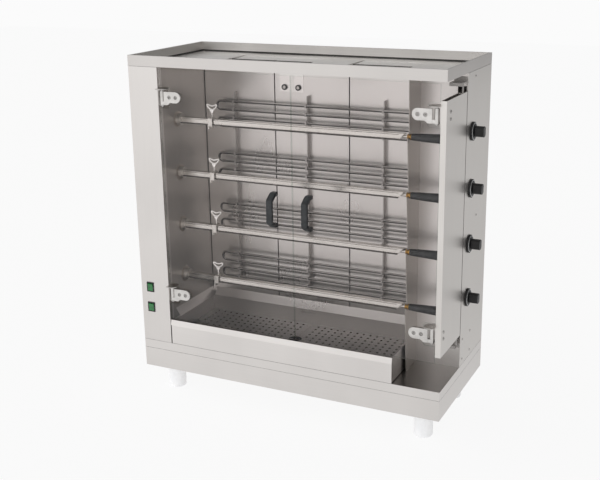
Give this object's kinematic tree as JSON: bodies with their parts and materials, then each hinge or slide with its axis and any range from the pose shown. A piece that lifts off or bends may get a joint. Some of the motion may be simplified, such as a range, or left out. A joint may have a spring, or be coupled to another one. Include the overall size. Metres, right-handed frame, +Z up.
{
  "type": "electric skewer grill",
  "caption": "Upright stainless electric grill with motor-driven horizontal spits, rear heating elements, glass doors, a hinged side gate, rotary controls and a pull-out drip drawer.",
  "frame": {"origin": "centre of the bounding box on the floor, under the feet", "axes": "+Z up, +X to the right when facing the glass doors, +Y from the doors towards the back"},
  "size_m": [1.139, 0.535, 1.203],
  "materials": {
    "casing_steel": "fine brushed stainless sheet",
    "bright_steel": "bright cold-rolled stainless sheet",
    "element_steel": "heat-dulled stainless tube",
    "bearing_copper": "copper-bronze bearing metal, lightly heat tinted",
    "motor_paint": "satin black paint",
    "chain_steel": "oiled plain steel",
    "polished_steel": "polished stainless casting",
    "glass": "clear toughened glass",
    "black_plastic": "satin black thermoset",
    "spit_steel": "used bright steel",
    "green_plastic": "translucent green, lamp inside",
    "ceramic": "unglazed ceramic",
    "regulator_plastic": "moulded body",
    "foot_plastic": "white moulded plastic, light semi-gloss",
    "screw_steel": "bright machine screws and rivets"
  },
  "bodies": {
    "cabinet": {"base_apron": "casing_steel", "base_deck": "casing_steel", "left_column_cover": "casing_steel", "left_inner_wall": "casing_steel", "reflector_panels": "bright_steel", "rear_cover": "casing_steel", "right_side_panel": "casing_steel", "bay_back_wall": "casing_steel", "spit_rest_wall": "casing_steel", "top_plate": "casing_steel", "top_rim": "casing_steel", "door_catch": "casing_steel", "heating_elements": "element_steel", "element_rails": "bright_steel", "drawer_runners": "casing_steel", "spit_bearings": "bearing_copper", "gearmotor": "motor_paint", "drive_chain": "chain_steel", "left_hinge_brackets": "polished_steel", "gate_pivots": "casing_steel", "rocker_housings": "black_plastic", "terminal_block": "ceramic", "cable_gland": "black_plastic", "energy_regulators": "regulator_plastic", "feet": "foot_plastic", "casing_screws": "screw_steel"},
    "left_door": {"left_door_glass": "glass", "left_door_handle": "black_plastic", "left_door_leaves": "polished_steel"},
    "gate": {"side_gate": "casing_steel", "gate_hinge_brackets": "polished_steel"},
    "right_door": {"right_door_glass": "glass", "right_door_handle": "black_plastic", "right_door_leaves": "polished_steel"},
    "motor_drive": {"motor_sprocket": "chain_steel"},
    "drive_1": {"drive_shaft_1": "chain_steel", "spit_1": "spit_steel"},
    "fork_body_1": {"fork_1": "spit_steel"},
    "wing_1": {"wing_screw_1": "spit_steel"},
    "knob_body_1": {"knob_1": "black_plastic"},
    "drive_2": {"drive_shaft_2": "chain_steel", "spit_2": "spit_steel"},
    "fork_body_2": {"fork_2": "spit_steel"},
    "wing_2": {"wing_screw_2": "spit_steel"},
    "knob_body_2": {"knob_2": "black_plastic"},
    "drive_3": {"drive_shaft_3": "chain_steel", "spit_3": "spit_steel"},
    "fork_body_3": {"fork_3": "spit_steel"},
    "wing_3": {"wing_screw_3": "spit_steel"},
    "knob_body_3": {"knob_3": "black_plastic"},
    "drive_4": {"drive_shaft_4": "chain_steel", "spit_4": "spit_steel"},
    "fork_body_4": {"fork_4": "spit_steel"},
    "wing_4": {"wing_screw_4": "spit_steel"},
    "knob_body_4": {"knob_4": "black_plastic"},
    "rocker_body_1": {"rocker_1": "green_plastic"},
    "rocker_body_2": {"rocker_2": "green_plastic"},
    "drawer": {"drip_drawer": "bright_steel"},
    "insert_left": {"drip_insert_left": "bright_steel"},
    "insert_right": {"drip_insert_right": "bright_steel"}
  },
  "joints": [
    {"name": "left_door_hinge", "type": "hinge", "parent": "cabinet", "child": "left_door", "pos_m": [-0.4445, -0.2185, 0.727], "axis": [0, 0, -1], "range_deg": [0, 105]},
    {"name": "gate_pivot", "type": "hinge", "parent": "cabinet", "child": "gate", "pos_m": [0.5215, -0.0415, 0.727], "axis": [0, 0, 1], "range_deg": [0, 100]},
    {"name": "right_door_hinge", "type": "hinge", "parent": "gate", "child": "right_door", "pos_m": [0.4995, -0.2185, 0.727], "axis": [0, 0, 1], "range_deg": [0, 105]},
    {"name": "motor_shaft", "type": "hinge", "parent": "cabinet", "child": "motor_drive", "pos_m": [-0.5095, -0.1125, 0.2985], "axis": [1, 0, 0], "continuous": true},
    {"name": "spit_turn_1", "type": "hinge", "parent": "cabinet", "child": "drive_1", "pos_m": [-0.4397, -0.1125, 0.9785], "axis": [1, 0, 0], "continuous": true},
    {"name": "fork_slide_1", "type": "slide", "parent": "drive_1", "child": "fork_body_1", "axis": [1, 0, 0], "range_m": [-0.09, 0.6]},
    {"name": "wing_turn_1", "type": "hinge", "parent": "fork_body_1", "child": "wing_1", "pos_m": [-0.3215, -0.1125, 0.9885], "axis": [0, 0, 1], "continuous": true},
    {"name": "knob_turn_1", "type": "hinge", "parent": "cabinet", "child": "knob_body_1", "pos_m": [0.5305, 0.0475, 0.9785], "axis": [1, 0, 0], "range_deg": [0, 270]},
    {"name": "spit_turn_2", "type": "hinge", "parent": "cabinet", "child": "drive_2", "pos_m": [-0.4397, -0.1125, 0.7935], "axis": [1, 0, 0], "continuous": true},
    {"name": "fork_slide_2", "type": "slide", "parent": "drive_2", "child": "fork_body_2", "axis": [1, 0, 0], "range_m": [-0.09, 0.6]},
    {"name": "wing_turn_2", "type": "hinge", "parent": "fork_body_2", "child": "wing_2", "pos_m": [-0.3215, -0.1125, 0.8035], "axis": [0, 0, 1], "continuous": true},
    {"name": "knob_turn_2", "type": "hinge", "parent": "cabinet", "child": "knob_body_2", "pos_m": [0.5305, 0.0475, 0.7935], "axis": [1, 0, 0], "range_deg": [0, 270]},
    {"name": "spit_turn_3", "type": "hinge", "parent": "cabinet", "child": "drive_3", "pos_m": [-0.4397, -0.1125, 0.6085], "axis": [1, 0, 0], "continuous": true},
    {"name": "fork_slide_3", "type": "slide", "parent": "drive_3", "child": "fork_body_3", "axis": [1, 0, 0], "range_m": [-0.09, 0.6]},
    {"name": "wing_turn_3", "type": "hinge", "parent": "fork_body_3", "child": "wing_3", "pos_m": [-0.3215, -0.1125, 0.6185], "axis": [0, 0, 1], "continuous": true},
    {"name": "knob_turn_3", "type": "hinge", "parent": "cabinet", "child": "knob_body_3", "pos_m": [0.5305, 0.0475, 0.6085], "axis": [1, 0, 0], "range_deg": [0, 270]},
    {"name": "spit_turn_4", "type": "hinge", "parent": "cabinet", "child": "drive_4", "pos_m": [-0.4397, -0.1125, 0.4235], "axis": [1, 0, 0], "continuous": true},
    {"name": "fork_slide_4", "type": "slide", "parent": "drive_4", "child": "fork_body_4", "axis": [1, 0, 0], "range_m": [-0.09, 0.6]},
    {"name": "wing_turn_4", "type": "hinge", "parent": "fork_body_4", "child": "wing_4", "pos_m": [-0.3215, -0.1125, 0.4335], "axis": [0, 0, 1], "continuous": true},
    {"name": "knob_turn_4", "type": "hinge", "parent": "cabinet", "child": "knob_body_4", "pos_m": [0.5305, 0.0475, 0.4235], "axis": [1, 0, 0], "range_deg": [0, 270]},
    {"name": "rocker_tilt_1", "type": "hinge", "parent": "cabinet", "child": "rocker_body_1", "pos_m": [-0.533, -0.2175, 0.398], "axis": [1, 0, 0], "range_deg": [-14, 0]},
    {"name": "rocker_tilt_2", "type": "hinge", "parent": "cabinet", "child": "rocker_body_2", "pos_m": [-0.533, -0.2175, 0.324], "axis": [1, 0, 0], "range_deg": [-14, 0]},
    {"name": "drawer_slide", "type": "slide", "parent": "cabinet", "child": "drawer", "axis": [0, -1, 0], "range_m": [0, 0.26]},
    {"name": "insert_lift_left", "type": "slide", "parent": "drawer", "child": "insert_left", "axis": [0, 0, 1], "range_m": [0, 0.055]},
    {"name": "insert_lift_right", "type": "slide", "parent": "drawer", "child": "insert_right", "axis": [0, 0, 1], "range_m": [0, 0.055]}
  ],
  "couplings": [
    {"joint": "spit_turn_2", "follows": "spit_turn_1", "ratio": 1},
    {"joint": "spit_turn_3", "follows": "spit_turn_1", "ratio": 1},
    {"joint": "spit_turn_4", "follows": "spit_turn_1", "ratio": 1},
    {"joint": "motor_shaft", "follows": "spit_turn_1", "ratio": 1}
  ]
}
